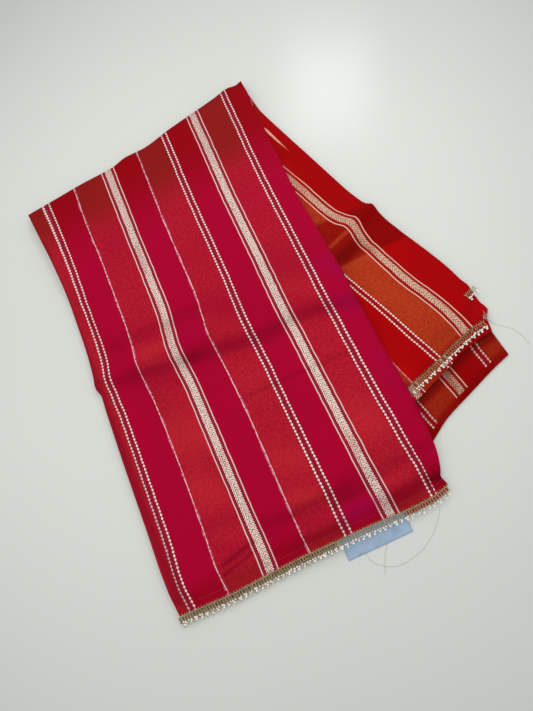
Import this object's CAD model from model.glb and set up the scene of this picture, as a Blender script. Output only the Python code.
"""A silk saree folded flat on a pale table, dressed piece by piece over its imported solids."""
import math

import bpy
import numpy as np
from mathutils import Matrix, Vector


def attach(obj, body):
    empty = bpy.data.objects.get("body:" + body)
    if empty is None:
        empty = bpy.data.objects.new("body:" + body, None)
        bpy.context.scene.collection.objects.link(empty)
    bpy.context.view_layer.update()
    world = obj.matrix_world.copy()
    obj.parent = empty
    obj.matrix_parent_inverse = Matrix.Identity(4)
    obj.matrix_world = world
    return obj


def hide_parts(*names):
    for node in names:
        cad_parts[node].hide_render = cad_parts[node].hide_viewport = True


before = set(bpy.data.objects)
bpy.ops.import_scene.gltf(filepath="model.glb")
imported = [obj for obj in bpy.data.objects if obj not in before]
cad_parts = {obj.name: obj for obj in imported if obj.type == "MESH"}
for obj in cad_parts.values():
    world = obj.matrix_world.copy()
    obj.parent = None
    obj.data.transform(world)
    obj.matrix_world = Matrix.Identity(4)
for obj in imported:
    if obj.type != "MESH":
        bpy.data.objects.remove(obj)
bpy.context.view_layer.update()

bl_info = {
    "name": "Folded saree",
    "version": (1, 0, 0),
    "blender": (4, 5, 0),
    "location": "View3D > Sidebar > Saree",
    "description": "Makes a folded silk saree with its stripes, lace and label",
    "category": "Add Mesh",
}

# Lengths below are in millimetres on the plan, from the front leaf's left hem corner: x across the
# stripes, y up to the fold. CENTRE is the middle of the part's box, which is its origin.
MM = 0.001
CENTRE = np.array((232.08, 307.53, 0.0))

LEAF_THICKNESS = 7.0
CLOTH = 1.6
SEAM = 0.3
LOWER_STEP = 2.5
MIDDLE_PLY = 1.9
UPPER_STEP = MIDDLE_PLY + CLOTH + 2 * SEAM
HEM_BAND = 9.0
HEM_RISE = 0.5
FOLD_TAIL = 8.0
FLUSH_REACH = 20.0
LAYER_INSET = 1.2
# The front leaf's top ply, and how far the layers lie below its outer side
FRONT_CLOTH = 0.9
LAYERS_BELOW = 1.05
# The sides roll down a little near their edges, over this width
SIDE_ROLL = 4
FRONT_ROLL, BACK_ROLL = 0.8, 0.7
# Where the front leaf's cloth turns duller towards the fold, and how low its underside may lie
FOLD_SHADE = (450, 578)
LOWEST = 0.02
# The hem's two seams and that of the back leaf's end, up from the edge, and how high the stitches lie
HEM_SEAMS, BACK_SEAM, STITCH_LIFT = (1.6, 8.3), 2.0, 0.06
# The pearls' second row, their space and stray, and the radii of the seam's and the loose threads, in metres
PEARL_ROW = 0.0024
PEARL_APART = 0.003
PEARL_WANDER, THREAD_WANDER = 0.0006, 0.00035
SEAM_RADIUS, LOOSE_RADIUS = 0.00016, 0.00014

# y, left, right
FRONT_SIDES = (
    (-5, 1.5, 330.0), (10, -0.5, 332.9), (20, -2.0, 330.4), (28, -3.0, 334.3), (42, -3.6, 338.6),
    (55, -4.0, 341.0), (105, -3.5, 344.0), (170, -3.5, 342.5), (255, -2.5, 341.5), (278, -2.0, 341.8),
    (291, -5.5, 342.0), (306, -3.5, 341.8), (360, -1.0, 340.0), (425, -1.0, 337.5), (480, -3.5, 339.5),
    (530, -9.0, 340.5), (575, -14.0, 341.5), (605, -17.5, 344.5), (640, -21.0, 343.5),
)
# x, y
HEM_LINE = ((0, 2.5), (60, 1.2), (100, 3.0), (160, 5.2), (230, 5.0), (285, 3.5), (310, 4.5), (331, 9.0))
FOLD_LINE = (
    (-14, 575.5), (29, 580.5), (73, 586.0), (120, 589.5), (148, 597.0), (170, 597.5), (220, 610.0),
    (297, 627.0), (322, 633.5), (333, 632.0), (344, 635.5),
)
# y, x
BACK_TOP_OUTER = (
    (150, 466.0), (187, 464.5), (200, 472.5), (208, 472.5), (221, 468.0), (238, 463.5), (257, 457.3),
    (296, 442.0), (317, 433.0), (337, 426.3), (352, 422.7), (364, 420.5), (370, 413.5), (380, 408.8),
    (402, 400.4), (444, 388.0), (488, 375.1), (533, 361.7), (557, 354.8), (580, 349.1), (606, 346.6),
)
BACK_MIDDLE_OUTER = ((140, 467.5), (163, 471.5), (173, 478.0), (187, 474.0), (204, 473.5))
BACK_LOWER_OUTER = ((105, 472.0), (147, 468.5), (190, 466.0))
# share of the way across, y
BACK_TOP_END = ((0, 117), (0.2, 126), (0.5, 140), (0.7, 151), (0.88, 159), (1, 162))
BACK_MIDDLE_END = ((0, 97), (0.2, 107), (0.45, 121), (0.65, 133), (0.8, 141), (1, 146))
BACK_LOWER_END = ((0, 44), (0.18, 58), (0.36, 75), (0.6, 90), (0.85, 105), (1, 112.5))
BACK_INNER = ((-10, 312.6), (400, 312.0), (440, 318.0), (474, 340.6))
BACK_TOP_START = 606.0
BACK_UNDER_START = 590.0
BACK_SPAN = (312.6, 466)
BACK_LEFT, BACK_WIDE, BACK_TONES_WIDE = 312, 154, 156
BACK_CLOTH = 1.4
# How far from the front leaf's side the back leaf's creases begin and are full
BACK_FREE = (8, 24)
# Near the fold the back leaf rises to the front one's side
CONE_START = 478.0
CONE_END = 600.0
CONE_RISE = 5.4

# Edges of the hidden back leaf below the front leaf: x0, y0, x1, y1 with the leaf on the left hand
HIDDEN_SIDE = (-14, 576, 165, 8)
LOWER_END_LINE = (165, 5, 471, 112)
UPPER_END_LINE = (165, 70, 471, 162)
SHOULDER = 14.0
SLOPE = 26.0

# Soft ridges and troughs: x0, y0, x1, y1, width, height
FRONT_CREASES = (
    (-10, 297, 345, 303, 13, 1.5), (-10, 279, 345, 259, 11, -1.2), (20, 333, 230, 331, 12, -0.8),
    (90, 43, 320, 49, 9, -0.9), (190, 25, 290, 27, 9, 0.9), (312, 38, 345, 30, 9, -0.8),
)
FRONT_FINE_CREASES = (
    (150, 197, 305, 195, 3.0, -0.5), (160, 203, 300, 202, 5.0, 0.35), (60, 17, 104, 26, 3.5, 0.45),
    (64, 26, 108, 36, 3.0, -0.4), (150, 22, 205, 19, 4.0, 0.3), (-8, 292, 40, 288, 3.5, -0.6),
    (20, 455, 120, 463, 9.0, 0.35), (210, 470, 330, 462, 10.0, 0.4), (205, 452, 320, 447, 7.0, -0.3),
    (40, 120, 150, 124, 12.0, 0.3), (120, 395, 260, 402, 9.0, -0.3), (30, 240, 110, 236, 8.0, -0.35),
    (300, 90, 344, 78, 7.0, 0.5), (318, 56, 345, 49, 4.0, -0.7), (322, 30, 344, 24, 3.5, 0.5),
    (240, 545, 340, 560, 12.0, 0.5), (10, 540, 110, 552, 12.0, 0.4), (215, 330, 300, 322, 8.0, 0.35),
)
BACK_CREASES = ((346, 343, 424, 366, 9, 3.2), (352, 296, 440, 322, 12, 1.3))
BACK_FINE_CREASES = (
    (350, 322, 402, 340, 6.0, -0.7), (352, 390, 405, 430, 8.0, 0.4), (360, 250, 452, 262, 9.0, -0.5),
    (352, 220, 456, 235, 8.0, 0.5), (430, 205, 462, 196, 6.0, 0.5), (350, 470, 372, 505, 6.0, -0.35),
    (372, 150, 440, 172, 7.0, 0.4), (350, 150, 380, 190, 7.0, -0.3),
)


def clamp(value, low, high):
    return np.minimum(np.maximum(value, low), high)


def smooth(start, end, value):
    t = clamp((value - start) / (end - start), 0, 1)
    return t * t * (3 - 2 * t)


def mix(a, b, t):
    return a + (b - a) * t


def along(table, value, column=1):
    """A table's column read between its rows on a smooth curve, its first column being the place."""
    rows = np.array(table, float)
    place, height = rows[:, 0], rows[:, column]
    slope = np.diff(height) / np.diff(place)
    before, after = slope[:-1], slope[1:]
    both = before + after
    bend = np.where(before * after > 0, 2 * before * after / np.where(both == 0, 1, both), 0)
    tangent = np.concatenate([slope[:1], bend, slope[-1:]])
    value = clamp(np.asarray(value, float), place[0], place[-1])
    i = clamp(np.searchsorted(place, value, side="right") - 1, 0, len(place) - 2)
    step = place[i + 1] - place[i]
    t = (value - place[i]) / step
    return (
        height[i] * (1 + 2 * t) * (1 - t) ** 2 + tangent[i] * step * t * (1 - t) ** 2
        + height[i + 1] * t * t * (3 - 2 * t) + tangent[i + 1] * step * t * t * (t - 1)
    )


def outside(line, x, y):
    """Distance to the right of a line, seen from its first end."""
    x0, y0, x1, y1 = line
    return ((x - x0) * (y1 - y0) - (y - y0) * (x1 - x0)) / math.hypot(x1 - x0, y1 - y0)


def ridge(row, x, y):
    """1 on a soft line from one end to the other, and 0 away from it."""
    x0, y0, x1, y1, width = row[:5]
    length = math.hypot(x1 - x0, y1 - y0)
    t = ((x - x0) * (x1 - x0) + (y - y0) * (y1 - y0)) / length
    d = outside((x0, y0, x1, y1), x, y)
    ends = smooth(-2 * width, width, t) * smooth(-2 * width, width, length - t)
    return ends * np.exp(-((d / width) ** 2))


def creases(table, x, y):
    """Heights or tones from a table of soft lines, added up."""
    return sum(row[5] * ridge(row, x, y) for row in table)


def hem_y(x):
    return along(HEM_LINE, x)


def front_left(y):
    return along(FRONT_SIDES, y, 1)


def front_right(y):
    return along(FRONT_SIDES, y, 2)


def stack_below(x, y):
    """Height of the hidden back leaf that lies under the front one, falling off on soft slopes."""
    def share(end_line):
        past = np.maximum(outside(HIDDEN_SIDE, x, y), outside(end_line, x, y))
        return 1 - smooth(SHOULDER, SHOULDER + SLOPE, past)
    return LOWER_STEP * share(LOWER_END_LINE) + UPPER_STEP * share(UPPER_END_LINE)


def front_height(x, y):
    band = HEM_RISE * (1 - smooth(HEM_BAND, HEM_BAND + 2, y - hem_y(x)))
    return stack_below(x, y) + LEAF_THICKNESS + creases(FRONT_CREASES, x, y) + band


def front_folds(share):
    """The fold's radius at each share of the way across, y where it starts, and y of the hem there."""
    y = np.full(len(share), 600.0)
    for _ in range(6):
        x = mix(front_left(y), front_right(y), share)
        y = along(FOLD_LINE, x)
    radius = front_height(x, y - LEAF_THICKNESS) / 2
    return radius, y - radius, hem_y(mix(front_left(3.0), front_right(3.0), share))


def rolled(edge, drop):
    return drop * (1 - smooth(0, SIDE_ROLL, edge)) ** 2


def front_surface(x, y, radius, turn):
    """Height of the front leaf's outer side with its fine creases, flush with the fold where it starts."""
    flush = smooth(turn - FLUSH_REACH, turn, y)
    fine = creases(FRONT_FINE_CREASES, x, y) * (1 - flush)
    return mix(front_height(x, y) + fine, 2 * radius, flush)


def back_inner(y):
    return np.where(y < CONE_START, along(BACK_INNER, y), front_right(y) + 0.8)


def back_outer(table, step, y):
    """A back ply's outer edge: by its own table, and beyond that just inside the top ply's."""
    return np.where(y < table[-1][0], along(table, y), along(BACK_TOP_OUTER, y) - step)


def back_top_height(x, y):
    inner = front_right(y)
    across = clamp((x - inner) / (along(BACK_TOP_OUTER, y) - inner), 0, 1)
    cone = CONE_RISE * smooth(CONE_START, CONE_END, y) * (1 - across) ** 1.3
    return LOWER_STEP + UPPER_STEP - SEAM + cone + creases(BACK_CREASES, x, y) * smooth(*BACK_FREE, x - inner)


def back_top_sides(x, y):
    fine = creases(BACK_FINE_CREASES, x, y) * smooth(*BACK_FREE, x - front_right(y))
    top = back_top_height(x, y) + fine * smooth(0, 12, y - along(BACK_TOP_END, (x - BACK_LEFT) / BACK_WIDE))
    return top, top - BACK_CLOTH


def srgb(red, green, blue):
    """A colour seen as 0 to 255 as the renderer's own numbers."""
    def linear(value):
        value /= 255
        return value / 12.92 if value <= 0.04045 else ((value + 0.055) / 1.055) ** 2.4
    return (linear(red), linear(green), linear(blue), 1.0)


# Making meshes


def plan_to_part(points):
    """Plan millimetres as the part's metres."""
    return (np.asarray(points, float) - CENTRE) * MM


def at(x, y, z):
    """Points from their x, y and z, any of which may be one number."""
    return np.stack(np.broadcast_arrays(x, y, z), -1)


def surface_normals(grid):
    normal = np.cross(np.gradient(grid, axis=1), np.gradient(grid, axis=0))
    return normal / np.maximum(np.linalg.norm(normal, axis=2, keepdims=True), 1e-9)


def placed(name, data):
    """A new object in the scene."""
    made = bpy.data.objects.new(name, data)
    bpy.context.scene.collection.objects.link(made)
    return made


def add_mesh(name, vertices, faces, uv=None, values=None, flat=False):
    mesh = bpy.data.meshes.new(name)
    mesh.from_pydata(plan_to_part(vertices).tolist(), [], [list(map(int, f)) for f in faces])
    if uv is not None:
        layer = mesh.uv_layers.new(name="cloth")
        corner = np.zeros(len(mesh.loops), np.int32)
        mesh.loops.foreach_get("vertex_index", corner)
        layer.data.foreach_set("uv", (np.asarray(uv)[corner] * MM).astype(np.float32).ravel())
    for key, column in (values or {}).items():
        attribute = mesh.attributes.new(key, "FLOAT", "POINT")
        attribute.data.foreach_set("value", np.asarray(column, np.float32))
    mesh.polygons.foreach_set("use_smooth", [not flat] * len(mesh.polygons))
    mesh.update()
    return placed(name, mesh)


# The round edge of one ply: the share of the way down it, and how far it stands out
RIM = ((0.12, -0.05), (0.5, 0.12), (0.88, -0.05))


def cloth_shell(name, outer, inner, uv, values, plies=1, groove=0.5, wander=0.3):
    """A closed sheet between two grids of points, its rim shaped as the rounded edges of its plies."""
    rows, columns = outer.shape[:2]
    ids = np.arange(rows * columns).reshape(rows, columns)
    count = rows * columns
    a, b, c, d = ids[:-1, :-1], ids[:-1, 1:], ids[1:, 1:], ids[1:, :-1]
    top = np.stack([a, b, c, d], -1).reshape(-1, 4)
    faces = [top, top[:, ::-1] + count]
    loop = np.concatenate([ids[0, :-1], ids[:-1, -1], ids[-1, :0:-1], ids[:0:-1, 0]])
    upper, lower = outer.reshape(-1, 3)[loop], inner.reshape(-1, 3)[loop]
    middle = (upper + lower) / 2
    out = np.cross(np.roll(middle, -1, 0) - np.roll(middle, 1, 0), upper - lower)
    out /= np.maximum(np.linalg.norm(out, axis=1, keepdims=True), 1e-9)
    if ((middle - middle.mean(0)) * out).sum() < 0:
        out = -out
    place = np.concatenate([[0], np.cumsum(np.linalg.norm(np.diff(middle, axis=0), axis=1))])
    # Rings down the rim, each pushed out or in: three to a ply, and one for the groove below it
    extra = []

    def add_ring(share, push):
        extra.append(upper + (lower - upper) * share + out * push[:, None])

    for ply in range(plies):
        swing = wander * (np.sin(place / (31 + 7 * (ply % 3)) + 1.7 * ply)
                          + 0.6 * np.sin(place / (11 + 2 * (ply % 4)) + 2.9 * ply))
        stray = swing - 1.6 * wander if plies > 1 else 0 * swing
        for share, push in RIM:
            add_ring((ply + share) / plies, push + stray)
        if ply < plies - 1:
            add_ring((ply + 1) / plies, 0 * swing - groove - 1.6 * wander)
    between = [2 * count + k * len(loop) + np.arange(len(loop)) for k in range(len(extra))]
    rings = [loop, *between, loop + count]
    for before, after in zip(rings, rings[1:]):
        faces.append(np.stack([after, np.roll(after, -1), np.roll(before, -1), before], -1))
    points = np.concatenate([outer.reshape(-1, 3), inner.reshape(-1, 3)] + extra)

    def repeated(data):
        return np.concatenate([data, data] + [data[loop]] * len(extra))

    values = {key: repeated(column.ravel()) for key, column in values.items()}
    piece = add_mesh(name, points, np.concatenate(faces), repeated(uv.reshape(-1, 2)), values)
    # The rim's shading would run over the cloth beside it but for a crisp edge
    on_rim = np.zeros(len(points), bool)
    on_rim[np.concatenate([loop, loop + count])] = True
    pairs = np.zeros(2 * len(piece.data.edges), np.int32)
    piece.data.edges.foreach_get("vertices", pairs)
    first, second = pairs[::2], pairs[1::2]
    same_side = (first < count) == (second < count)
    crisp = piece.data.attributes.new("sharp_edge", "BOOLEAN", "EDGE")
    crisp.data.foreach_set("value", on_rim[first] & on_rim[second] & same_side)
    return piece


def stated(piece, nodes, material):
    """Gives a piece its material, and says what it stands for, its finish and its cut."""
    piece.data.materials.clear()
    piece.data.materials.append(material)
    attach(piece, "root")
    if nodes:
        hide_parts(*nodes)


# Shader expressions


def worked_out(operation, flip=False):
    """A method of Socket that adds one Math node, with the socket as its last value if flip is set."""
    def method(self, *others):
        values = [*others, self] if flip else [self, *others]
        return self.graph.node("ShaderNodeMath", {"operation": operation}, dict(enumerate(values)))
    return method


class Socket:
    """A node's output, on which Python's operators add the nodes that work them out."""

    __add__ = __radd__ = worked_out("ADD")
    __mul__ = __rmul__ = worked_out("MULTIPLY")
    __sub__, __rsub__ = worked_out("SUBTRACT"), worked_out("SUBTRACT", flip=True)
    __truediv__, __abs__, __gt__ = worked_out("DIVIDE"), worked_out("ABSOLUTE"), worked_out("GREATER_THAN")
    least, most = worked_out("MINIMUM"), worked_out("MAXIMUM")
    fraction, power, sine = worked_out("FRACT"), worked_out("POWER"), worked_out("SINE")

    def __init__(self, graph, link):
        self.graph, self.link = graph, link

    def soft(self, start, end):
        """0 before start and 1 after end, or the other way round where end is the lower one."""
        low, high = (0.0, 1.0) if start < end else (1.0, 0.0)
        return self.graph.node(
            "ShaderNodeMapRange", {"interpolation_type": "SMOOTHSTEP"},
            {0: self, 1: min(start, end), 2: max(start, end), 3: low, 4: high},
        )

    def waves(self, length):
        return (self * (2 * math.pi / length)).sine()


class Graph:
    """One material's nodes."""

    def __init__(self, name):
        self.material = bpy.data.materials.new(name)
        self.material.use_nodes = True
        self.tree = self.material.node_tree
        self.tree.nodes.clear()

    def node(self, kind, settings=None, inputs=None, output=0):
        """A node of that kind with its settings, then its sockets' values or links; gives one output.
        A list is several links into one socket."""
        made = self.tree.nodes.new(kind)
        for key, value in (settings or {}).items():
            setattr(made, key, value)
        for key, value in (inputs or {}).items():
            for one in value if isinstance(value, list) else [value]:
                if isinstance(one, Socket):
                    self.tree.links.new(one.link, made.inputs[key])
                else:
                    made.inputs[key].default_value = one
        return Socket(self, made.outputs[output]) if made.outputs else None

    def mix(self, first, second, factor, blend="MIX"):
        settings = {"data_type": "RGBA", "blend_type": blend}
        return self.node("ShaderNodeMix", settings, {0: factor, 6: first, 7: second}, 2)

    def vector(self, operation, first, second, output=0):
        place = "Scale" if operation == "SCALE" else 1
        return self.node("ShaderNodeVectorMath", {"operation": operation}, {0: first, place: second}, output)

    def parts(self, vector):
        """A vector's x, y and z."""
        made = self.node("ShaderNodeSeparateXYZ", inputs={0: vector}).link.node
        return [Socket(self, output) for output in made.outputs]

    def upward(self, length):
        return self.node("ShaderNodeCombineXYZ", inputs={2: length})

    def noise(self, vector, scale, detail=2.0, roughness=0.5):
        inputs = {"Vector": vector, "Scale": scale, "Detail": detail, "Roughness": roughness}
        return self.node("ShaderNodeTexNoise", inputs=inputs, output="Fac")

    def attribute(self, name):
        return self.node("ShaderNodeAttribute", {"attribute_name": name}, output="Fac")

    def place(self, output="Object"):
        return self.node("ShaderNodeTexCoord", output=output)

    def bump(self, height, distance):
        return self.node("ShaderNodeBump", inputs={"Height": height, "Distance": distance})

    def finish(self, **sockets):
        """The surface's shader; a name's underscores stand for spaces."""
        inputs = {key.replace("_", " "): value for key, value in sockets.items()}
        shader = self.node("ShaderNodeBsdfPrincipled", inputs=inputs)
        self.node("ShaderNodeOutputMaterial", inputs={"Surface": shader})
        return self.material


def nearest(across, centres):
    """Distance from the nearest of several stripes."""
    found = abs(across - centres[0])
    for centre in centres[1:]:
        found = found.least(abs(across - centre))
    return found


def within(across, spans, soft=0.5):
    """1 inside any of the spans, with soft sides."""
    total = None
    for start, end in spans:
        mask = across.soft(start - soft, start + soft) * across.soft(end + soft, end - soft)
        total = mask if total is None else total.most(mask)
    return total


# From a band's middle, in millimetres: its own half width, a thin thread, the side line and the gap's edge
BAND_HALF, BAND_THIN, BAND_LINE, BAND_GAP = 4.5, 6.7, 9.1, 10.4
STROKE_PITCH = 3.2
DOTS_GAP = 5.6
WEAVE_PITCH = 0.7
STRIPES_STRAY = 1.6


def silk(name, colours, stripes):
    """Shot silk with tissue stripes, dotted double lines, herringbone bands and fine broken lines.
    u runs across the stripes and v along them, in millimetres."""
    g = Graph(name)
    uv = g.vector("SCALE", g.place("UV"), 1 / MM)

    def strewn(across, lengthwise, detail=1.0, roughness=0.5):
        """Noise by how often it changes in a millimetre across the stripes and along them."""
        scale = {"Vector": uv, "Scale": (across, lengthwise, 1.0)}
        return g.noise(g.node("ShaderNodeMapping", inputs=scale), 1.0, detail, roughness)

    def dashes(place, pitch, start, end):
        return abs((place / pitch).fraction() - 0.5).soft(start, end)

    across, v, _ = g.parts(uv)
    # The stripes stray a little from their lines, as they do on a hand loom
    u = across + (strewn(0.012, 0.06, 2.0) - 0.5) * STRIPES_STRAY
    dark, light, glow, shift, worn, dull, ends = (
        g.attribute(key) for key in ("dark", "light", "glow", "shift", "worn", "dull", "ends"))
    speck = g.noise(uv, 1.3, 1.0)
    # 1 but where the stripes fade into a fold, raggedly
    ends = (ends * 2 + g.noise(uv, 0.5, 2.0) - 1).soft(0.1, 0.9)

    grain = strewn(1.0, 0.78, 2.0, 0.7)
    coarse = strewn(0.32, 0.2, 2.0, 0.6)
    ground = g.mix(colours["ground"], colours["ground_shift"], shift)
    bright = (grain * 0.85 + coarse * 0.25).soft(0.41, 0.71)
    tissue = g.mix(colours["tissue_low"], colours["tissue_high"], bright)
    # The tissue's metal thread loses its shine where the cloth turns away, and the ground shows through it
    # where it is dull
    tissue = g.mix(tissue, colours["tissue_shift"], (shift * 1.4 + grain * 0.6 - 0.5).soft(0.0, 1.0) * 0.9)
    tissue_mask = within(u, stripes["tissue"], 0.7) * (1 - (dark + grain * 0.2 - 0.1).soft(0.15, 0.55) * 0.7)
    tissue_mask = tissue_mask * (1 - dull * 0.75)
    colour = g.mix(ground, tissue, tissue_mask)

    raised = 0
    # Herringbone bands with a fine line on each side
    if stripes["bands"]:
        d = nearest(u, stripes["bands"])
        colour = g.mix(colour, colours["gap"], d.soft(BAND_GAP, BAND_GAP - 0.6) * ends)
        strokes = dashes(v + d * 1.1, STROKE_PITCH, 0.36, 0.16)
        rubbed = strewn(0.05, 0.016).soft(0.55, 0.72)
        thread = g.mix(colours["band"], colours["band_worn"], rubbed * 0.5 + shift * 0.2 + worn)
        band = (d - strokes * 0.5).soft(BAND_HALF, BAND_HALF - 0.4)
        weave = strokes * 0.55 + g.noise(uv, 0.55, 1.0).soft(0.36, 0.62) * 0.55
        colour = g.mix(colour, g.mix(colours["band_low"], thread, weave), band * ends)
        line = abs(d - BAND_LINE).soft(0.95, 0.45) * (0.5 + 0.5 * dashes(v, 2.1, 0.48, 0.2))
        colour = g.mix(colour, colours["cream"], line * ends)
        thin = abs(d - BAND_THIN).soft(0.6, 0.2) * dashes(v, 1.6, 0.36, 0.18)
        colour = g.mix(colour, colours["fine"], thin * ends * 0.45)
        raised = (band * strokes * 0.8 + line + thin * 0.3) * ends

    # Two rows of oval dots with fine dotted lines between them
    if stripes["dots"]:
        d = nearest(u, stripes["dots"])
        colour = g.mix(colour, colours["gap"], d.soft(DOTS_GAP, DOTS_GAP - 1) * ends * 0.85)
        row = abs(d - stripes["dot_gap"])
        step = (v / stripes["dot_pitch"]).fraction() - 0.5
        round_off = row * row / 1.5 + (step * stripes["dot_pitch"]).power(2.0) / 1.9
        dots = round_off.soft(1.3, 0.75) * (1 - round_off.soft(0.55, 0.2) * worn * 0.8)
        dots = dots.most(row.soft(0.6, 0.3) * 0.5) * (0.72 + 0.28 * coarse.soft(0.35, 0.6))
        colour = g.mix(colour, g.mix(colours["dot"], colours["dot_dull"], worn), dots * ends * (1 - worn * 0.3))
        fine = abs(d - 1.15).soft(0.55, 0.2) * dashes(v, 1.5, 0.42, 0.2)
        colour = g.mix(colour, colours["fine"], fine * ends * speck.soft(0.42, 0.6) * 0.7)
        raised = raised + (dots + fine * 0.2) * ends

    # Fine lines, each with a faint second thread that comes and goes on either side
    lead = strewn(0.004, 0.03)
    broken = strewn(0.02, 0.3, 2.0).soft(0.36, 0.54)
    for centre in stripes["lines"]:
        side = u - centre + (lead - 0.5) * 1.1
        second = abs(side - 1.5).soft(0.6, 0.25) * lead.soft(0.54, 0.6)
        second = second.most(abs(side + 1.5).soft(0.6, 0.25) * lead.soft(0.46, 0.4)) * broken
        colour = g.mix(colour, colours["line_faint"], second * ends)
        first = (abs(side) - broken * 0.2).soft(0.65, 0.25) * (0.5 + 0.5 * broken)
        colour = g.mix(colour, colours["line"], first * ends * 0.85)
        raised = raised + first * 0.4 * ends

    # One tapered streak of bright thread
    for centre, start, end in stripes.get("streak", ()):
        taper = v.soft(start, mix(start, end, 0.75)) * v.soft(end, end - 9)
        streak = (taper * 2.1 - abs(u - centre + (coarse - 0.5) * 1.4)).soft(0.0, 0.7)
        colour = g.mix(colour, g.mix(colours["streak"], colours["cream"], grain.soft(0.35, 0.6)), streak * 0.85)

    # Shade of the folds, a little unevenness of the dye, and the fine weave
    colour = g.mix(colour, colours["tissue_glow"], light * tissue_mask * 0.7)
    colour = g.mix(colour, colours["glow"], glow * (1 - tissue_mask) * 0.6)
    colour = g.mix(colour, g.mix((1, 1, 1, 1), colours["shade"], dark), 1.0, "MULTIPLY")
    cloudy = g.noise(g.place(), 9.0, 3.0)
    colour = g.node("ShaderNodeHueSaturation", inputs={"Color": colour, "Value": 0.92 + cloudy * 0.16})
    weave = u.waves(WEAVE_PITCH) * v.waves(WEAVE_PITCH)
    height = raised * 0.2 + weave * 0.03 + strewn(0.05, 1.4) * 0.05 + grain * tissue_mask * 0.08
    return g.finish(
        Base_Color=colour, Roughness=0.5 - tissue_mask * 0.08 + grain * 0.1, Metallic=0.06 + tissue_mask * 0.12,
        Normal=g.bump(height, MM), Specular_IOR_Level=0.03, Sheen_Weight=0.02, Sheen_Roughness=0.4,
        Sheen_Tint=colours["sheen"],
    )


FRONT_COLOURS = {
    "ground": srgb(166, 0, 44), "ground_shift": srgb(146, 0, 10), "tissue_low": srgb(142, 4, 30),
    "tissue_high": srgb(196, 34, 52), "tissue_shift": srgb(138, 24, 19), "tissue_glow": srgb(208, 48, 52),
    "gap": srgb(138, 0, 34), "band_low": srgb(126, 34, 40), "band": srgb(255, 236, 222),
    "band_worn": srgb(216, 162, 148), "cream": srgb(248, 212, 198), "fine": srgb(206, 96, 132),
    "dot": srgb(255, 230, 217), "dot_dull": srgb(190, 140, 122), "line": srgb(240, 200, 206),
    "line_faint": srgb(204, 112, 150), "streak": srgb(214, 120, 60), "glow": srgb(156, 0, 72),
    "shade": (0.36, 0.3, 0.3, 1.0), "sheen": (1.0, 0.1, 0.2, 1.0),
}
BACK_COLOURS = dict(
    FRONT_COLOURS, ground=srgb(164, 0, 4), ground_shift=srgb(134, 0, 0), tissue_low=srgb(140, 28, 10),
    tissue_high=srgb(192, 66, 30), tissue_shift=srgb(138, 4, 2), tissue_glow=srgb(196, 78, 40),
    fine=srgb(176, 70, 70), gap=srgb(148, 0, 10), glow=srgb(196, 6, 8), line_faint=srgb(190, 74, 40),
    band=srgb(246, 202, 174), band_low=srgb(100, 18, 10), band_worn=srgb(192, 122, 98),
    cream=srgb(244, 204, 180), sheen=(1.0, 0.2, 0.1, 1.0),
)
FRONT_STRIPES = {
    "tissue": ((-20, 13), (62.5, 104.4), (162.5, 201.5), (265.6, 302.5)),
    "bands": (114, 256), "dots": (18, 207, 308), "lines": (62, 162), "dot_gap": 3.65, "dot_pitch": 4.4,
}
# Stripes of the back leaf's cloth, counted from the fine line beside the front leaf
BACK_STRIPES = {
    "tissue": ((-60, -1), (47.5, 88.6)), "bands": (98,), "dots": (42,), "lines": (0,),
    "streak": ((131, 343, 409),), "dot_gap": 3.6, "dot_pitch": 4.1,
}
MIDDLE_STRIPES = {
    "tissue": ((35.5, 77),), "bands": (26,), "dots": (82,), "lines": (), "dot_gap": 3.6, "dot_pitch": 4.1,
}
LOWER_STRIPES = {
    "tissue": ((24, 60.5), (123, 190)), "bands": (70,), "dots": (18, 117), "lines": (), "dot_gap": 3.6,
    "dot_pitch": 4.1,
}

# Where the front leaf's stripes lie on the plan: y, then x of the left edge, dots, line, band, line, dots,
# band, dots and right edge. RULED is how far across the cloth each of them is.
FRONT_RULED = (0, 18, 62, 114, 162, 207, 256, 308, 340)
FRONT_LAY = (
    (5, 0, 16.2, 60, 112.7, 161, 208.5, 260.5, 314.5, 331),
    (35, -2, 12.3, 57, 113, 160, 208, 259.5, 314.3, 336),
    (85, -3, 15, 59, 112, 160, 207.5, 257.5, 311, 342),
    (160, -2.5, 15.8, 60, 111.5, 160, 206, 256, 307.3, 343),
    (235, -2.5, 16, 59.5, 110.5, 157.5, 205, 254.5, 306, 342.5),
    (292, -4.5, 13.5, 56, 106.5, 154, 202.7, 253, 305.2, 341.5),
    (320, -2.5, 17, 58.5, 109, 156.5, 203.5, 253.3, 305.5, 341),
    (360, -0.5, 18.7, 60.5, 112.5, 159.5, 204.5, 253.8, 305.7, 340),
    (460, -2, 20.2, 60.8, 113, 159.5, 205, 254, 306, 338.5),
    (510, -6.5, 19, 59.5, 113.5, 160.6, 206, 255.5, 307.5, 338.5),
    (578, -13.5, 16, 60.5, 114.5, 162.7, 208.2, 257.6, 310.5, 341),
    (635, -20, 13.5, 60, 115.5, 164, 209.5, 259, 313, 343),
)
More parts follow.
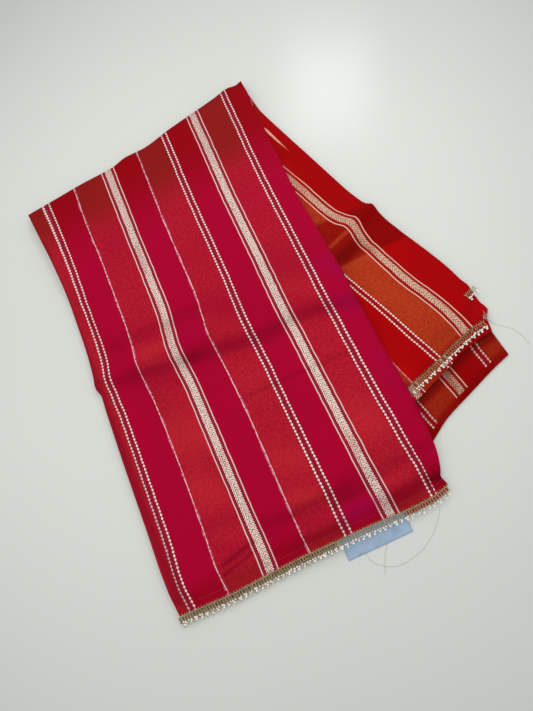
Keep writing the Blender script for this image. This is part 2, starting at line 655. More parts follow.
# The same for the back leaf: y, then x of the line, dots, band's lower side, band, upper side, 40 beyond
BACK_RULED = (0, 42, 88.9, 98, 107.1, 150)
BACK_LAY = (
    (129, 353, 399.5, 437, 443.5, 457, 501), (166, 342.4, 385.6, 429.7, 437.4, 448.1, 491),
    (188, 335.3, 377.5, 424.6, 434, 442.3, 485), (212, 327.5, 369.5, 416, 425.2, 434, 476),
    (248, 316.5, 356.5, 400.4, 410.7, 418.3, 461),
    (281, 304.5, 343.5, 390, 399.6, 407, 449), (306, 295, 334, 382, 390.8, 399, 441),
    (320, 290, 329, 378, 385.6, 395, 437), (338, 285, 324, 377, 386, 394, 436),
    (348, 281, 320, 374.5, 384, 393.8, 436),
    (356, 278, 317, 369.5, 381, 392, 434), (364, 275, 313, 363, 375, 385.8, 428),
    (380, 269, 306, 356, 364.5, 374, 416), (404, 260, 298, 348, 355.6, 364.8, 407),
    (434, 250, 288, 337.6, 346.4, 355.6, 398), (483, 234, 272, 321, 329.5, 337.6, 380),
    (560, 210, 248, 297, 305.5, 313.5, 356),
)
BACK_SLANT = math.radians(18.6)
# The plies below it: y, then x of the band and the dots, or of the dots, the band and the dots
MIDDLE_RULED = (26, 82)
MIDDLE_LAY = ((90, 359.6, 415.3), (120, 350.6, 406.3), (150, 341.6, 397.3))
LOWER_RULED = (18, 70, 117)
LOWER_LAY = (
    (40, 361.3, 411, 454.4), (78, 352.5, 403.4, 449), (100, 347.4, 399, 445.9), (134, 339.5, 392.2, 441),
)
TUCK_LINE = ((-10, 311.0), (430, 310.0), (486, 334.5), (640, 339.0))


def ruled(lay, nominal, x, y):
    """How far across the cloth a place on the plan is, by where its stripes lie there."""
    places = [along(lay, y, 1 + k) for k in range(len(nominal))]
    first, last = places[0], places[-1]
    across = nominal[0] + np.minimum(x - first, 0)
    for k in range(len(nominal) - 1):
        share = clamp((x - places[k]) / (places[k + 1] - places[k]), 0, 1)
        across = across + share * (nominal[k + 1] - nominal[k])
    return across + np.maximum(x - last, 0)


# Tone of the front leaf: x0, y0, x1, y1, width, strength
FRONT_DARK = (
    (20, 287, 130, 272, 9, 0.36), (120, 273, 235, 258, 12, 0.42), (235, 266, 340, 252, 10, 0.32),
    (30, 333, 150, 329, 10, 0.22), (160, 197, 304, 195, 3, 0.25), (130, 52, 225, 52, 9, 0.3),
    (225, 52, 335, 58, 11, 0.26), (60, 30, 108, 40, 6, 0.2), (205, 40, 250, 44, 5, 0.35),
    (-14, 575, 344, 636, 14, 0.2), (344, 480, 344, 60, 5, 0.25), (262, 20, 304, 24, 12, 0.36),
    (4, 20, -8, 520, 9, 0.56), (318, 30, 344, 10, 12, 0.5), (150, 20, 210, 16, 8, 0.22),
    (0, 14, 331, 19, 10, 0.2), (62, 22, 104, 31, 2.2, 0.4), (66, 32, 108, 43, 2.5, 0.35),
    (316, 22, 336, 20, 3, 0.4), (162, 330, 204, 300, 22, 0.13), (265, 350, 302, 325, 30, 0.1),
    (265, 275, 302, 262, 14, 0.14), (62, 270, 104, 258, 12, 0.12), (62, 80, 104, 74, 12, 0.14),
)
# Where the tissue is dull and the ground shows through it
FRONT_DULL = (
    (62, 335, 104, 325, 16, 0.6), (62, 272, 104, 255, 14, 0.75), (162, 330, 204, 300, 24, 0.8),
    (162, 268, 204, 258, 14, 0.6), (265, 455, 302, 430, 45, 0.5), (265, 350, 302, 330, 30, 0.5),
    (265, 275, 302, 262, 16, 0.7), (62, 80, 104, 74, 12, 0.5), (62, 44, 104, 40, 10, 0.4),
    (162, 36, 204, 30, 12, 0.4), (62, 470, 104, 470, 30, 0.4), (162, 410, 204, 400, 26, 0.3),
)
# Where the tissue shines, and where the ground turns purple
FRONT_LIGHT = (
    (62, 303, 106, 304, 9, 0.35), (165, 314, 200, 282, 14, 0.25), (268, 308, 302, 282, 12, 0.2),
    (62, 96, 100, 60, 16, 0.15), (166, 66, 200, 58, 10, 0.45), (268, 40, 300, 36, 6, 0.15),
    (64, 200, 100, 170, 24, 0.5), (64, 125, 100, 105, 18, 0.4), (166, 225, 200, 200, 22, 0.15),
    (166, 115, 200, 100, 18, 0.35), (268, 125, 300, 100, 24, 0.45), (2, 20, -8, 520, 8, 0.8),
)
FRONT_GLOW = (
    (214, 24, 252, 26, 10, 0.9), (318, 262, 338, 244, 14, 0.75), (322, 320, 340, 290, 12, 0.7),
    (326, 180, 340, 120, 10, 0.35), (120, 300, 152, 296, 12, 0.3),
)
BACK_DARK = (
    (345, 312, 380, 324, 12, 0.55), (400, 345, 424, 352, 9, 0.12), (350, 156, 440, 172, 7, 0.1),
    (398, 160, 430, 170, 8, 0.1), (346, 600, 350, 560, 6, 0.3), (375, 560, 425, 375, 6, 0.08),
    (436, 300, 470, 200, 14, 0.06), (448, 172, 462, 186, 8, 0.2),
)
BACK_LIGHT = ((360, 296, 400, 306, 7, 0.3), (370, 270, 400, 210, 12, 0.2))
BACK_GLOW = ((318, 200, 352, 130, 16, 0.8), (350, 420, 345, 480, 6, 0.5))
# The bright strip on the back leaf's bend, y where its tissue stops catching the light, and where the
# shades beyond the bend and the lower plies' stripes fade
BACK_STRIP = (343, 334, 375, 344, 3.2)
BACK_SHINE_ENDS = 303
BACK_BEND_FADES = (362, 378)
BACK_STRIPES_FADE = (170, 186)


def front_leaf_shell():
    """The front leaf's top ply from its hem over the fold and a little way under."""
    columns, body_rows, arc_rows = 150, 250, 14
    share = np.linspace(0, 1, columns)
    radius, turn, hem = front_folds(share)
    rows = []
    for t in np.linspace(0, 1, body_rows):
        y = mix(hem, turn, t)
        x = mix(front_left(y), front_right(y), share)
        edge = np.minimum(x - front_left(y), front_right(y) - x)
        rows.append(at(x, y, front_surface(x, y, radius, turn) - rolled(edge, FRONT_ROLL)))
    x, v = rows[-1][:, 0], [row[:, 1] for row in rows]
    for k in range(1, arc_rows + 1):
        angle = math.pi * (0.5 - k / arc_rows)
        rows.append(at(x, turn + radius * math.cos(angle), radius + radius * math.sin(angle)))
        v.append(turn + radius * math.pi * k / arc_rows)
    rows.append(at(x, turn - FOLD_TAIL, 0.0))
    v.append(turn + radius * math.pi + FOLD_TAIL)
    outer = np.array(rows)
    inner = outer - surface_normals(outer) * FRONT_CLOTH
    inner[..., 2] = np.maximum(inner[..., 2], LOWEST)
    px, py = outer[..., 0], outer[..., 1]
    u = ruled(FRONT_LAY, FRONT_RULED, px, py)
    u[body_rows:] = u[body_rows - 1]
    fold = smooth(*FOLD_SHADE, py)
    tones = (("dark", FRONT_DARK), ("light", FRONT_LIGHT), ("glow", FRONT_GLOW), ("dull", FRONT_DULL))
    values = {key: creases(table, px, py) for key, table in tones}
    values["dark"] += 0.08 * fold
    values["shift"] = fold * 0.95 + (1 - smooth(8, 34, py - hem_y(px))) * 0.5
    values = {key: clamp(column, 0, 1) for key, column in values.items()}
    values |= {"ends": np.ones_like(px), "worn": (1 - smooth(10, 16, u)) * (1 - smooth(120, 330, py))}
    return cloth_shell("front_leaf_cloth", outer, inner, np.stack([u, np.array(v)], -1), values)


def hidden_layers():
    """The plies below the front leaf as one pile, flat below, with a ledge over the back leaf's tuck."""
    body_rows, arc_rows = 120, 7
    # Columns left of the tuck's side and right of it, with a step between the last and the first of them
    left_columns, right_columns = 56, 8
    before, after = left_columns - 1, left_columns
    share = np.concatenate([np.linspace(0, 1, left_columns), np.linspace(1, 2, right_columns)])
    radius, turn, hem = front_folds(clamp(share / 2 * 1.08, 0, 1))
    top, low = [], []
    for t in np.linspace(0, 1, body_rows):
        y = mix(hem + LAYER_INSET, turn, t)
        left, right, tuck = front_left(y) + LAYER_INSET, front_right(y) - LAYER_INSET, along(TUCK_LINE, y)
        x = np.where(share <= 1, mix(left, tuck - 0.2, share), mix(tuck, right, share - 1))
        x[before], x[after] = (tuck - 0.25)[before], tuck[after]
        below = np.where(share > 1, stack_below(x, y), 0.0)
        below[after] = stack_below(x, y)[after]
        below = np.where(y > turn - FOLD_TAIL - 0.8, 1.0, below)
        top.append(at(x, y, front_surface(x, y, radius, turn) - LAYERS_BELOW))
        low.append(at(x, y, below))
    inside = radius - LAYERS_BELOW
    for k in range(1, arc_rows):
        angle = math.pi / 2 * (1 - k / arc_rows)
        y = turn + inside * math.cos(angle)
        top.append(at(x, y, radius + inside * math.sin(angle)))
        low.append(at(x, y, radius - inside * math.sin(angle)))
    outer, inner = np.array(top), np.array(low)
    return cloth_shell("hidden_layers", outer, inner, outer[..., :2], {}, 12, 0.7, 0.3)


def joined(pieces, name):
    """Several plain meshes as one piece."""
    points, faces, first = [], [], 0
    for piece in pieces:
        points += [tuple(v.co / MM) for v in piece.data.vertices]
        faces += [[first + k for k in polygon.vertices] for polygon in piece.data.polygons]
        first = len(points)
        bpy.data.objects.remove(piece)
    return add_mesh(name, np.array(points) + CENTRE, faces)


def leaf_sides(end, start, outer_table, step, heights, steps):
    """The two sides of one ply of the back leaf from its end up to the tuck, as grids of points."""
    rows, columns = steps
    share = np.linspace(0, 1, columns)
    upper, lower = [], []
    for t in np.linspace(0, 1, rows):
        y = mix(along(end, share), start, t)
        inner, outer = back_inner(y), back_outer(outer_table, step, y)
        x = mix(inner, outer, share)
        high, low = heights(x, y)
        upper.append(at(x, y, high - rolled((outer - inner) * (1 - share), BACK_ROLL)))
        lower.append(at(x, y, low))
    return np.array(upper), np.array(lower)


def back_tones(node, end, x, y):
    """The values that the back silk reads, for one of the three plies."""
    top, lower = node == "back_leaf", node == "back_lower_leaf"
    past = y - along(end, (x - BACK_LEFT) / BACK_TONES_WIDE)
    dark, light, glow = (creases(table, x, y) * top for table in (BACK_DARK, BACK_LIGHT, BACK_GLOW))
    if lower:
        dark = 0.6 * (1 - smooth(2, 15, along(BACK_MIDDLE_END, (x - BACK_LEFT) / BACK_TONES_WIDE) - y)) + 0.27
    turned = smooth(BACK_SHINE_ENDS - 4, BACK_SHINE_ENDS + 4, y) - 0.95 * ridge(BACK_STRIP, x, y)
    turned = turned * (1 - 0.8 * smooth(*BACK_BEND_FADES, y)) * top
    ends = np.ones_like(x) if top else 1 - smooth(*BACK_STRIPES_FADE, y)
    return {
        "dark": clamp(dark, 0, 1), "light": clamp(light, 0, 1), "glow": clamp(glow, 0, 1),
        "shift": clamp((1 - smooth(0, 14, past)) * 0.6 + 0.4 * lower + turned, 0, 1),
        "ends": smooth(5, 9, past) * ends if lower else ends, "worn": np.full_like(x, 0.25 if lower else 0.05),
    }


def colour_setting(name, description, default):
    return bpy.props.FloatVectorProperty(
        name=name, description=description, subtype="COLOR", size=4, default=default, min=0, max=1)


def length_setting(name, description, default, least):
    return bpy.props.FloatProperty(
        name=name, description=description, unit="LENGTH", default=default, min=least)


class SAREE_PG_colours(bpy.types.PropertyGroup):
    """Colours that a user would change."""

    lace: colour_setting("Lace thread", "Colour of the dull gold thread of the lace", srgb(212, 186, 136))
    pearl: colour_setting("Pearls", "Colour of the small beads on the lace", srgb(242, 238, 230))
    label: colour_setting("Label", "Colour of the blank ribbon label", srgb(160, 184, 208))
    table: colour_setting("Table", "Colour of the surface that the saree lies on", srgb(209, 211, 206))


class SAREE_PG_sizes(bpy.types.PropertyGroup):
    """Sizes that a user would change."""

    pearl: length_setting("Pearl radius", "Radius of one bead of the lace", 0.00142, 0.0002)
    thread: length_setting("Lace thread radius", "Radius of the zigzag's thread", 0.00042, 0.0001)
    stitch: length_setting("Stitch length", "Length of one stitch of the hem's seam", 0.0024, 0.0005)


UP = (0.0, 0.0, 1.0)


class Tree(Graph):
    """A Geometry Nodes tree that grows on a piece's lines and ends in Realize Instances and Set Material."""

    def __init__(self, name, material, **inputs):
        self.tree = bpy.data.node_groups.new(name, "GeometryNodeTree")
        for way in ("INPUT", "OUTPUT"):
            self.tree.interface.new_socket(name="Geometry", in_out=way, socket_type="NodeSocketGeometry")
        self.names = {}
        for key, default in inputs.items():
            kind = "NodeSocketInt" if isinstance(default, int) else "NodeSocketFloat"
            socket = self.tree.interface.new_socket(name=key, in_out="INPUT", socket_type=kind)
            socket.default_value = default
            self.names[key] = socket.identifier
        self.material = material
        self.entry = self.tree.nodes.new("NodeGroupInput")
        self.line = self.node("GeometryNodeMeshToCurve", inputs={0: self.read("Geometry")})

    def read(self, name):
        return Socket(self, self.entry.outputs[name])

    def spaced(self, mode, **inputs):
        """The piece's line with points set evenly along it."""
        return self.node("GeometryNodeResampleCurve", {"mode": mode}, {"Curve": self.line, **inputs})

    def moved(self, points, low, high, seed, *steps):
        """The points with a random step of up to Wander and the other steps added."""
        choice = {"data_type": "FLOAT_VECTOR"}
        offset = self.node("FunctionNodeRandomValue", choice, {0: low, 1: high, "Seed": seed})
        offset = self.vector("SCALE", offset, self.read("Wander"))
        for step in steps:
            offset = self.vector("ADD", offset, step)
        return self.node("GeometryNodeSetPosition", inputs={"Geometry": points, "Offset": offset})

    def ball(self, segments, rings):
        inputs = {"Segments": segments, "Rings": rings, "Radius": self.read("Radius")}
        return self.node("GeometryNodeMeshUVSphere", inputs=inputs)

    def tube(self, curve):
        """Ends the tree with a round thread of the input Radius along the curve."""
        ring = self.node("GeometryNodeCurvePrimitiveCircle", {"mode": "RADIUS"},
                         {"Resolution": 6, "Radius": self.read("Radius")})
        inputs = {"Curve": curve, "Profile Curve": ring, "Fill Caps": True}
        return self.close(self.node("GeometryNodeCurveToMesh", inputs=inputs))

    def close(self, geometry):
        real = self.node("GeometryNodeRealizeInstances", inputs={0: geometry})
        shown = self.node("GeometryNodeSetMaterial", inputs={0: real, "Material": self.material})
        self.node("NodeGroupOutput", inputs={0: shown})
        return self

    def grow(self, piece, **values):
        """Runs the tree on a piece with its inputs set, and keeps the result as a plain mesh."""
        modifier = piece.modifiers.new("grow", "NODES")
        modifier.node_group = self.tree
        for name, value in values.items():
            modifier[self.names[name]] = value
        bpy.context.view_layer.update()
        shown = piece.evaluated_get(bpy.context.evaluated_depsgraph_get())
        mesh = bpy.data.meshes.new_from_object(shown)
        piece.modifiers.clear()
        old = piece.data
        piece.data = mesh
        bpy.data.meshes.remove(old)
        mesh.name = piece.name
        mesh.polygons.foreach_set("use_smooth", [True] * len(mesh.polygons))
        return piece


def path_piece(name, lines):
    """Lines of plan points as edges that a tree grows on."""
    points, edges = [], []
    for line in lines:
        first = len(points)
        points += [tuple(p) for p in line]
        edges += [(first + k, first + k + 1) for k in range(len(line) - 1)]
    mesh = bpy.data.meshes.new(name)
    mesh.from_pydata(plan_to_part(points).tolist(), edges, [])
    return placed(name, mesh)


def thread_tree(material):
    """Thread along the piece's edges."""
    t = Tree("lace thread", material, Radius=0.0005)
    return t.tube(t.line)


def zigzag_tree(material):
    """Thread that swings out from the piece's line and back, once in each repeat."""
    t = Tree("lace zigzag", material, Repeats=50, Depth=0.0066, Sink=0.001, Radius=0.0005, Wander=0.0004,
             Shift=0.0, Seed=1)
    phase = (t.node("GeometryNodeInputIndex") * 0.25 + t.read("Shift")).fraction()
    share = 1 - abs(phase - 0.5) * 2
    out = t.vector("CROSS_PRODUCT", t.node("GeometryNodeInputTangent"), UP)
    away = t.vector("SCALE", out, share * t.read("Depth"))
    sink = t.upward(share * t.read("Sink") * -1.0)
    spaced = t.spaced("COUNT", Count=t.read("Repeats") * 4.0 + 1.0)
    return t.tube(t.moved(spaced, (-1.0, -1.0, -0.2), (1.0, 1.0, 0.6), t.read("Seed"), away, sink))


def pearl_tree(material):
    """Groups of three pearls, one in each repeat of the lace: two side by side and one further out."""
    t = Tree("lace pearls", material, Repeats=50, Near=0.0078, Far=0.0102, Apart=0.0029, Sink=0.0015,
             Radius=0.0014, Wander=0.0004, Seed=2)
    spaced = t.spaced("COUNT", Count=t.read("Repeats") * 2.0 + 1.0)
    middle = (t.node("GeometryNodeInputIndex") * 0.5).fraction() > 0.25
    tangent = t.node("GeometryNodeInputTangent")
    out = t.vector("CROSS_PRODUCT", tangent, UP)
    sizes = {2: 0.86, 3: 1.1, "Seed": t.read("Seed")}
    grown = t.node("FunctionNodeRandomValue", {"data_type": "FLOAT"}, sizes, 1)
    bead = {"Selection": middle, "Instance": t.ball(10, 7), "Scale": grown}
    beads = []
    for number, (reach, side) in enumerate((("Near", -0.5), ("Near", 0.5), ("Far", 0.0))):
        steps = (t.vector("SCALE", out, t.read(reach)), t.vector("SCALE", tangent, t.read("Apart") * side),
                 t.upward(t.read("Sink") * -1.0))
        laid = t.moved(spaced, (-1.0, -1.0, -0.6), (1.0, 1.0, 0.6), t.read("Seed") + float(number), *steps)
        beads.append(t.node("GeometryNodeInstanceOnPoints", inputs={"Points": laid, **bead}))
    return t.close(t.node("GeometryNodeJoinGeometry", inputs={0: beads}))


def stitch_tree(material):
    """Short stitches set end to end along the piece's line, with a gap after each."""
    t = Tree("hem stitches", material, Stitch=0.0024, Radius=0.0002)
    spaced = t.spaced("LENGTH", Length=t.read("Stitch"))
    tangent = t.node("GeometryNodeInputTangent")
    turn = t.node("FunctionNodeAlignRotationToVector", {"axis": "Z"}, {"Vector": tangent})
    size = t.node("ShaderNodeCombineXYZ", inputs={0: 1.0, 1: 1.0, 2: t.read("Stitch") * 0.4 / t.read("Radius")})
    inputs = {"Points": spaced, "Instance": t.ball(6, 5), "Rotation": turn, "Scale": size}
    return t.close(t.node("GeometryNodeInstanceOnPoints", inputs=inputs))


def thread_material(name, colour, dark, roughness, metallic):
    """Twisted thread, darker between its strands."""
    g = Graph(name)
    body = g.place()
    twist = g.node("ShaderNodeTexWave", {"wave_type": "BANDS", "bands_direction": "DIAGONAL"},
                   {"Vector": body, "Scale": 900.0, "Distortion": 1.5, "Detail": 1.0}, "Fac")
    strand = (twist * 0.5 + g.noise(body, 160.0) * 0.6).soft(0.25, 0.75)
    return g.finish(Base_Color=g.mix(dark, colour, strand), Metallic=metallic,
                    Roughness=roughness - twist * 0.12, Normal=g.bump(twist, 0.0001))


def pearl_material(name, colour, low):
    """Small pearls with a faint uneven lustre."""
    g = Graph(name)
    cloudy = g.noise(g.place(), 260.0)
    return g.finish(
        Base_Color=g.mix(low, colour, cloudy.soft(0.25, 0.55)), Roughness=0.22 + cloudy * 0.15,
        Specular_IOR_Level=0.6, Coat_Weight=0.4, Coat_Roughness=0.15, Normal=g.bump(cloudy, 0.00005))


def label_material(colour):
    """Woven satin ribbon with fine ribs, left blank."""
    g = Graph("label ribbon")
    body = g.place()
    x, y, _ = g.parts(body)
    rib, cross, cloudy = y.waves(0.0009), x.waves(0.0011), g.noise(body, 70.0)
    colour = g.mix(colour, srgb(128, 152, 180), cloudy.soft(0.4, 0.8) * 0.6)
    colour = g.mix(colour, srgb(112, 136, 168), g.attribute("edge") * 0.5)
    return g.finish(
        Base_Color=g.mix(colour, srgb(118, 142, 172), rib * cross * 0.12 + 0.08), Roughness=0.42 + cloudy * 0.1,
        Sheen_Weight=0.15, Normal=g.bump(rib * 0.6 + cross * 0.25, 0.00012))


def layer_material():
    """The hidden plies' silk, seen only at the rims, each ply a little different."""
    g = Graph("layer silk")
    body = g.place()
    ply = g.noise(g.upward(g.parts(body)[2] * 900.0), 1.0, 1.0)
    grain = g.noise(body, 900.0)
    colour = g.mix(srgb(128, 0, 18), srgb(176, 6, 34), ply.soft(0.3, 0.7))
    colour = g.mix(colour, srgb(150, 44, 26), g.noise(body, 14.0).soft(0.5, 0.75) * 0.6)
    return g.finish(
        Base_Color=colour, Roughness=0.55 + grain * 0.12, Sheen_Weight=0.15, Normal=g.bump(grain, 0.00012))


def table_material(colour):
    """A plain pale table top, a little duller away from the middle, with a faint satin unevenness."""
    g = Graph("pale table")
    body = g.place()
    away = g.vector("DISTANCE", body, (-0.04, 0.04, 0.0), "Value")
    fine = g.noise(body, 420.0, 1.0)
    colour = g.mix(colour, srgb(150, 151, 148), away.soft(0.25, 0.95) * 0.9)
    colour = g.mix(colour, srgb(200, 202, 197), g.noise(body, 1.3).soft(0.35, 0.75) * 0.4)
    return g.finish(
        Base_Color=colour, Emission_Color=colour, Emission_Strength=0.06, Roughness=0.2 + fine * 0.07,
        Specular_IOR_Level=0.4, Normal=g.bump(fine, 0.00003))


SHARED = {}


def finishes():
    """The materials that more than one piece takes, made once."""
    if not SHARED:
        colours = bpy.context.scene.saree_colours
        SHARED.update({
            "layer": layer_material(),
            "lace": thread_material("lace thread", tuple(colours.lace), srgb(108, 80, 42), 0.5, 0.1),
            "under": thread_material("lace thread below", srgb(150, 118, 72), srgb(82, 58, 32), 0.55, 0.1),
            "pearl": pearl_material("pearl bead", tuple(colours.pearl), srgb(186, 174, 154)),
            "dull pearl": pearl_material("pearl bead below", srgb(216, 208, 194), srgb(142, 128, 104)),
            "cotton": thread_material("red sewing thread", srgb(196, 40, 56), srgb(120, 0, 20), 0.7, 0.0),
            "loose": thread_material("loose pale thread", srgb(196, 194, 186), srgb(158, 154, 146), 0.7, 0.0),
        })
    return SHARED


def front_line(x, up, lift):
    """A line along the front hem, so far up the cloth from it and so far above the cloth."""
    y = hem_y(x) + up
    return at(x, y, front_height(x, y) + lift)


def back_line(share, up, lift):
    """The same along the end of the back leaf's top ply."""
    x, y = mix(*BACK_SPAN, share), along(BACK_TOP_END, share) + up
    return at(x, y, back_top_height(x, y) + lift)


# Loose sewing threads on the table, from the lace and the label
LOOSE_THREADS = (
    ((314, -7, 5.5), (311, -13, 2.5), (306, -20, 0.6), (293, -32, 0.2), (277, -41, 0.2), (256, -46, 0.2),
     (240, -45, 0.2), (231, -41, 0.2), (222, -34, 0.2), (218.2, -27, 0.5), (217.7, -20, 1.2)),
    ((245.2, -18, 1.4), (242, -22, 0.6), (236.5, -29, 0.2), (231, -38, 0.2), (229, -44, 0.7),
     (226.5, -46.5, 0.2)),
    ((468, 165, 5.6), (472, 161, 3.0), (477, 153, 0.6), (483, 147.5, 0.2), (489, 142, 0.2), (494.5, 135.5, 0.2),
     (498.5, 125, 0.2), (499.5, 114, 0.2)),
)
# The frayed tuft at the back lace's outer end: where it starts, the turns and lengths of its threads, and
# how far along, aside and up each of them goes
TUFT = (466.0, 164.0, 7.2)
TUFT_THREADS = (
    (-62, 9), (-48, 13), (-36, 8), (-22, 12), (-8, 10), (6, 13), (20, 9), (33, 12), (47, 8), (58, 10),
)
TUFT_BENDS = ((0, 0, 0), (0.35, 1, 1.0), (0.7, 0.6, 0.8), (1.0, -0.6, -0.6))


def tuft():
    threads = []
    for number, (turn, length) in enumerate(TUFT_THREADS):
        angle, curl = math.radians(turn), 0.12 * length * (-1) ** number
        forward = np.array([math.cos(angle), math.sin(angle), 0])
        aside = np.array([-math.sin(angle), math.cos(angle), 0])
        threads.append([np.array(TUFT) + forward * length * part + aside * curl * bend + np.array([0, 0, rise])
                        for part, bend, rise in TUFT_BENDS])
    return threads


class SAREE_OT_front(bpy.types.Operator):
    """Makes the front leaf's cloth over its solid"""

    bl_idname = "saree.front"
    bl_label = "Front leaf"

    def execute(self, context):
        piece = front_leaf_shell()
        material = silk("front silk", FRONT_COLOURS, FRONT_STRIPES)
        stated(piece, ["front_leaf"], material)
        return {"FINISHED"}


class SAREE_OT_layers(bpy.types.Operator):
    """Makes the hidden layers, folded on each other, with rounded edges that show at the sides"""

    bl_idname = "saree.layers"
    bl_label = "Hidden layers"

    def execute(self, context):
        stated(hidden_layers(), ["inner_layers"], finishes()["layer"])
        return {"FINISHED"}


class SAREE_OT_back(bpy.types.Operator):
    """Makes the back leaf's three plies that show"""

    bl_idname = "saree.back"
    bl_label = "Back leaf"

    def execute(self, context):
        # name, node, end, start, outer edge and its step in, heights of both sides, where its stripes lie and
        # their places across the cloth, rows and columns, stripes, plies seen at the rim, flat size
        leaves = (
            ("back_leaf_cloth", "back_leaf", BACK_TOP_END, BACK_TOP_START, BACK_TOP_OUTER, 0.0, back_top_sides,
             BACK_LAY, BACK_RULED, (200, 62), BACK_STRIPES, 2, (0.154, 0.492)),
            ("back_middle_cloth", "back_middle_leaf", BACK_MIDDLE_END, BACK_UNDER_START, BACK_MIDDLE_OUTER, 0.4,
             lambda x, y: (LOWER_STEP + MIDDLE_PLY, LOWER_STEP),
             MIDDLE_LAY, MIDDLE_RULED, (190, 50), MIDDLE_STRIPES, 2, (0.166, 0.495)),
            ("back_lower_cloth", "back_lower_leaf", BACK_LOWER_END, BACK_UNDER_START, BACK_LOWER_OUTER, 0.8,
             lambda x, y: (LOWER_STEP - SEAM, 0.0),
             LOWER_LAY, LOWER_RULED, (210, 50), LOWER_STRIPES, 3, (0.16, 0.55)),
        )
        for name, node, end, start, edge, step, heights, lay, nominal, steps, stripes, plies, flat in leaves:
            outer, inner = leaf_sides(end, start, edge, step, heights, steps)
            x, y = outer[..., 0], outer[..., 1]
            v = y * math.cos(BACK_SLANT) - x * math.sin(BACK_SLANT)
            uv = np.stack([ruled(lay, nominal, x, y), v], -1)
            piece = cloth_shell(name, outer, inner, uv, back_tones(node, end, x, y), plies, 0.35, 0.12)
            material = silk(name.replace("_", " "), BACK_COLOURS, stripes)
            stated(piece, [node], material)
        return {"FINISHED"}


class SAREE_OT_lace(bpy.types.Operator):
    """Makes the zigzag lace with its pearls along the front hem and the back leaf"""

    bl_idname = "saree.lace"
    bl_label = "Lace"

    def execute(self, context):
        shared, sizes = finishes(), context.scene.saree_sizes
        front = front_line(np.linspace(0.6, 331, 160), 1.6, 0.4)
        x = np.linspace(-2, 192, 100)
        under = at(x, hem_y(x) - 2.4, 4.6)
        back = back_line(np.linspace(0.035, 0.99, 90), 0.9, 0.55)
        corner = np.array([(460.5, 200.5, 7.5), (468, 203.5, 7.5), (476.5, 206.5, 7.3)])
        # name, line, thread and its share of the usual radius, repeats, how far the zigzag sinks, how far
        # the pearls hang, how far the zigzag reaches, and how far the near pearls
        laces = (
            ("front_lace", front, "lace", 0.9, 50, 1.9, 2.4, 9.8, 9.0),
            ("front_lace_under", under, "under", 1.6, 29, 0.8, 1.6, 6.4, 7.0),
            ("back_lace", back, "lace", 0.72, 23, 0.25, 0.3, 8.6, 9.2),
            ("back_corner_lace", corner, "lace", 0.8, 3, 0.2, 0.2, 7.0, 8.2),
        )
        # A zigzag's two strands, which cross: shift, share of the reach, and lift
        strands = ((0.0, 1.0, 0.0), (0.5, 0.94, 0.35))
        for name, line, finish, thick, repeats, sink, drop, depth, near in laces:
            upper = finish == "lace"
            radius = sizes.thread * thick
            zigzag = zigzag_tree(shared[finish])
            made = []
            for strand, (shift, reach, lift) in enumerate(strands):
                piece = path_piece(f"{name}_thread_{strand}", [line + np.array([0, 0, lift])])
                zigzag.grow(piece, Repeats=repeats, Depth=depth * reach * MM, Sink=sink * MM, Radius=radius,
                            Wander=THREAD_WANDER, Shift=shift, Seed=3 + strand)
                made.append(piece)
            edge = path_piece(f"{name}_edge", [line + np.array([0, -2.0 * upper, -0.15])])
            made.append(thread_tree(shared[finish]).grow(edge, Radius=radius * 0.8))
            stated(joined(made, f"{name}_thread"), [name], shared[finish])
            pearls = path_piece(f"{name}_pearls", [line])
            bead = shared["pearl" if upper else "dull pearl"]
            pearl_tree(bead).grow(
                pearls, Repeats=repeats, Near=near * MM, Far=near * MM + PEARL_ROW, Apart=PEARL_APART,
                Sink=drop * MM, Radius=sizes.pearl * (1.0 if upper else 0.9), Wander=PEARL_WANDER)
            stated(pearls, [], bead)
        return {"FINISHED"}


LABEL_LEFT, LABEL_RIGHT, LABEL_LOW = 197, 275.5, -20


class SAREE_OT_label(bpy.types.Operator):
    """Makes the blank ribbon label under the hem"""

    bl_idname = "saree.label"
    bl_label = "Label"

    def execute(self, context):
        upper, lower = [], []
        x = np.linspace(LABEL_LEFT, LABEL_RIGHT, 70)
        for t in np.linspace(0, 1, 26)[::-1]:
            y = mix(LABEL_LOW, hem_y(x) + 0.9, t)
            wave = 0.18 * np.sin(x / 9) * (1 - t) + 0.25 * np.exp(-((t - 0.06) / 0.05) ** 2)
            z = 3.2 * t ** 1.5 + 0.9 + wave
            upper.append(at(x, y, z))
            lower.append(at(x, y, np.maximum(z - 0.8, 0)))
        outer, inner = np.array(upper), np.array(lower)
        px, py = outer[..., 0], outer[..., 1]
        side = 1 - smooth(0.6, 1.6, np.minimum(px - LABEL_LEFT, LABEL_RIGHT - px))
        edge = np.maximum(side, 1 - smooth(0.8, 2.0, py - LABEL_LOW))
        piece = cloth_shell("label_ribbon", outer, inner, outer[..., :2], {"edge": edge})
        stated(piece, ["label"], label_material(tuple(context.scene.saree_colours.label)))
        return {"FINISHED"}


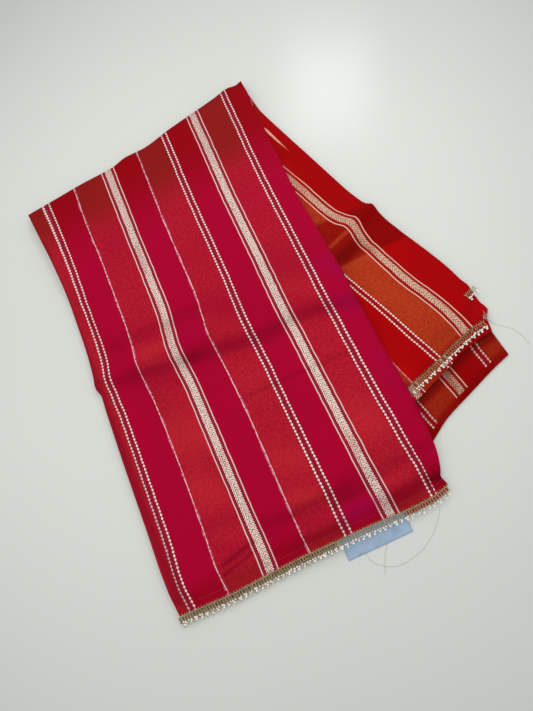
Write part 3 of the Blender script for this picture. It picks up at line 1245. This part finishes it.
class SAREE_OT_sewing(bpy.types.Operator):
    """Makes the hem's stitches, the next ply's hem and the loose threads"""

    bl_idname = "saree.sewing"
    bl_label = "Sewing and threads"

    def execute(self, context):
        shared, sizes = finishes(), context.scene.saree_sizes
        x = np.linspace(276.5, 331.4, 60)
        outer = np.array([
            at(x, hem_y(x) + 5.0 - 10.4 * t, 5.8 - 0.7 * t * t + 0.15 * t * np.sin(x / 5))
            for t in np.linspace(1, 0, 12)])
        ply = cloth_shell("next_ply_hem", outer, outer - np.array([0, 0, 1.0]), outer[..., :2], {})
        stated(ply, [], shared["layer"])
        lines = [front_line(np.linspace(2, 331, 170), up, STITCH_LIFT) for up in HEM_SEAMS]
        lines.append(back_line(np.linspace(0.04, 0.97, 90), BACK_SEAM, STITCH_LIFT))
        up = np.linspace(166, 201, 30)
        lines.append(at(along(BACK_TOP_OUTER, up) + 0.3, up, 5.7))
        seam = path_piece("hem_stitches", lines)
        stitch_tree(shared["cotton"]).grow(seam, Stitch=sizes.stitch, Radius=SEAM_RADIUS)
        stated(seam, [], shared["cotton"])
        loose = path_piece("loose_threads", [*LOOSE_THREADS, *tuft()])
        thread_tree(shared["loose"]).grow(loose, Radius=LOOSE_RADIUS)
        stated(loose, [], shared["loose"])
        return {"FINISHED"}


# name, place, where it points, side in metres, strength
LIGHTS = (
    ("softbox", (0.1, 0.32, 1.2), (0.05, 0.05, 0.0), 1.5, 4.0),
    ("window", (-1.1, -0.1, 1.1), (-0.1, 0.0, 0.0), 1.5, 1.3),
    ("right window", (1.15, 0.45, 1.1), (0.1, 0.0, 0.0), 1.4, 2.0),
    ("far window", (0.61, 1.08, 1.0), (0.222, 0.255, 0.0), 0.3, 1.7),
)
# The camera's place on the plan, its turns in degrees, and its lens and film in millimetres
CAMERA_SPOT = (203.645, 35.715, 640.25)
CAMERA_TURNS = ((-1.7, "Z"), (17.543, "X"), (-23.098, "Z"))
CAMERA_LENS, CAMERA_FILM = 27.04, 36.0
TABLE_CORNERS = ((-2000, -2000, -0.05), (2500, -2000, -0.05), (2500, 2600, -0.05), (-2000, 2600, -0.05))


class SAREE_OT_stage(bpy.types.Operator):
    """Makes the pale table, the soft studio light and the camera"""

    bl_idname = "saree.stage"
    bl_label = "Stage"

    def execute(self, context):
        scene = context.scene
        floor = add_mesh("table_top", TABLE_CORNERS, [(0, 1, 2, 3)], flat=True)
        floor.data.materials.append(table_material(tuple(scene.saree_colours.table)))
        world = bpy.data.worlds.new("studio")
        world.use_nodes = True
        background = world.node_tree.nodes["Background"]
        background.inputs["Color"].default_value = (0.97, 0.975, 0.965, 1)
        background.inputs["Strength"].default_value = 0.78
        scene.world = world
        for name, spot, aim, size, power in LIGHTS:
            data = bpy.data.lights.new(name, "AREA")
            data.shape, data.size, data.energy = "SQUARE", size, power
            lamp = placed(name, data)
            lamp.location = spot
            lamp.rotation_euler = (Vector(aim) - Vector(spot)).to_track_quat("-Z", "Y").to_euler()
        data = bpy.data.cameras.new("photo angle")
        data.sensor_fit, data.sensor_width, data.lens = "AUTO", CAMERA_FILM, CAMERA_LENS
        data.clip_start, data.clip_end = 0.01, 20.0
        turn = Matrix()
        for degrees, axis in CAMERA_TURNS:
            turn = turn @ Matrix.Rotation(math.radians(degrees), 4, axis)
        scene.camera = placed("photo angle", data)
        scene.camera.matrix_world = Matrix.Translation(plan_to_part(CAMERA_SPOT).tolist()) @ turn
        scene.view_settings.view_transform = "Standard"
        return {"FINISHED"}


class SAREE_PT_panel(bpy.types.Panel):
    """Lists the saree's pieces, sizes and colours"""

    bl_idname = "SAREE_PT_panel"
    bl_label = "Folded saree"
    bl_space_type = "VIEW_3D"
    bl_region_type = "UI"
    bl_category = "Saree"

    def draw(self, context):
        for group in (context.scene.saree_colours, context.scene.saree_sizes):
            for key in group.bl_rna.properties.keys():
                if key not in ("rna_type", "name"):
                    self.layout.prop(group, key)
        for made in OPERATORS:
            self.layout.operator(made.bl_idname)


OPERATORS = (
    SAREE_OT_layers, SAREE_OT_front, SAREE_OT_back, SAREE_OT_lace, SAREE_OT_label, SAREE_OT_sewing,
    SAREE_OT_stage,
)
CLASSES = (SAREE_PG_colours, SAREE_PG_sizes, *OPERATORS, SAREE_PT_panel)


def register():
    for made in CLASSES:
        bpy.utils.register_class(made)
    bpy.types.Scene.saree_colours = bpy.props.PointerProperty(type=SAREE_PG_colours)
    bpy.types.Scene.saree_sizes = bpy.props.PointerProperty(type=SAREE_PG_sizes)


def unregister():
    del bpy.types.Scene.saree_sizes
    del bpy.types.Scene.saree_colours
    for made in reversed(CLASSES):
        bpy.utils.unregister_class(made)


def main():
    register()
    for operator in ("layers", "front", "back", "lace", "label", "sewing", "stage"):
        getattr(bpy.ops.saree, operator)()


if __name__ == "__main__":
    main()
